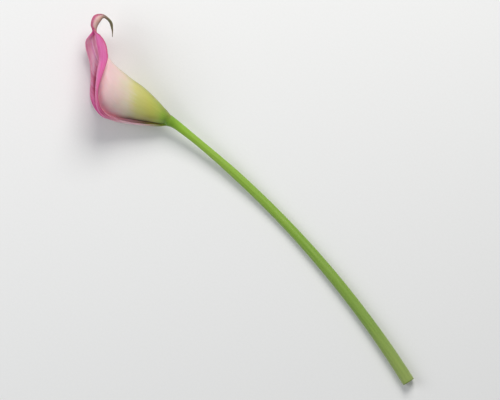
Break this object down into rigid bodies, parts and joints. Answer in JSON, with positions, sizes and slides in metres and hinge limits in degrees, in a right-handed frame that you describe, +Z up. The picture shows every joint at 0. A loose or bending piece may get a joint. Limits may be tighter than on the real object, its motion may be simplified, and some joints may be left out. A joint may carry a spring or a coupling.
{
  "type": "arum lily flower",
  "caption": "Arum lily flower lying on its side: a spathe rolled into a flared funnel with a hooked tail, round a knobbly spadix, on a long curved stem cut square.",
  "frame": {"origin": "middle of the lying flower's box, seen from above, on the surface that it lies on", "axes": "+X along the flower's length, from the stem's cut end towards the mouth; +Z up, away from the surface"},
  "size_m": [0.2572, 0.0394, 0.0299],
  "materials": {
    "spathe": "satin petal, green at the base, cream to pale pink above, magenta at the rolled lips",
    "spadix": "matte, covered with tiny yellow-orange florets",
    "stem": "smooth satin green skin, pale moist flesh at the cut"
  },
  "bodies": {
    "root": {"spathe": "spathe", "spadix": "spadix", "stem": "stem"}
  },
  "joints": []
}
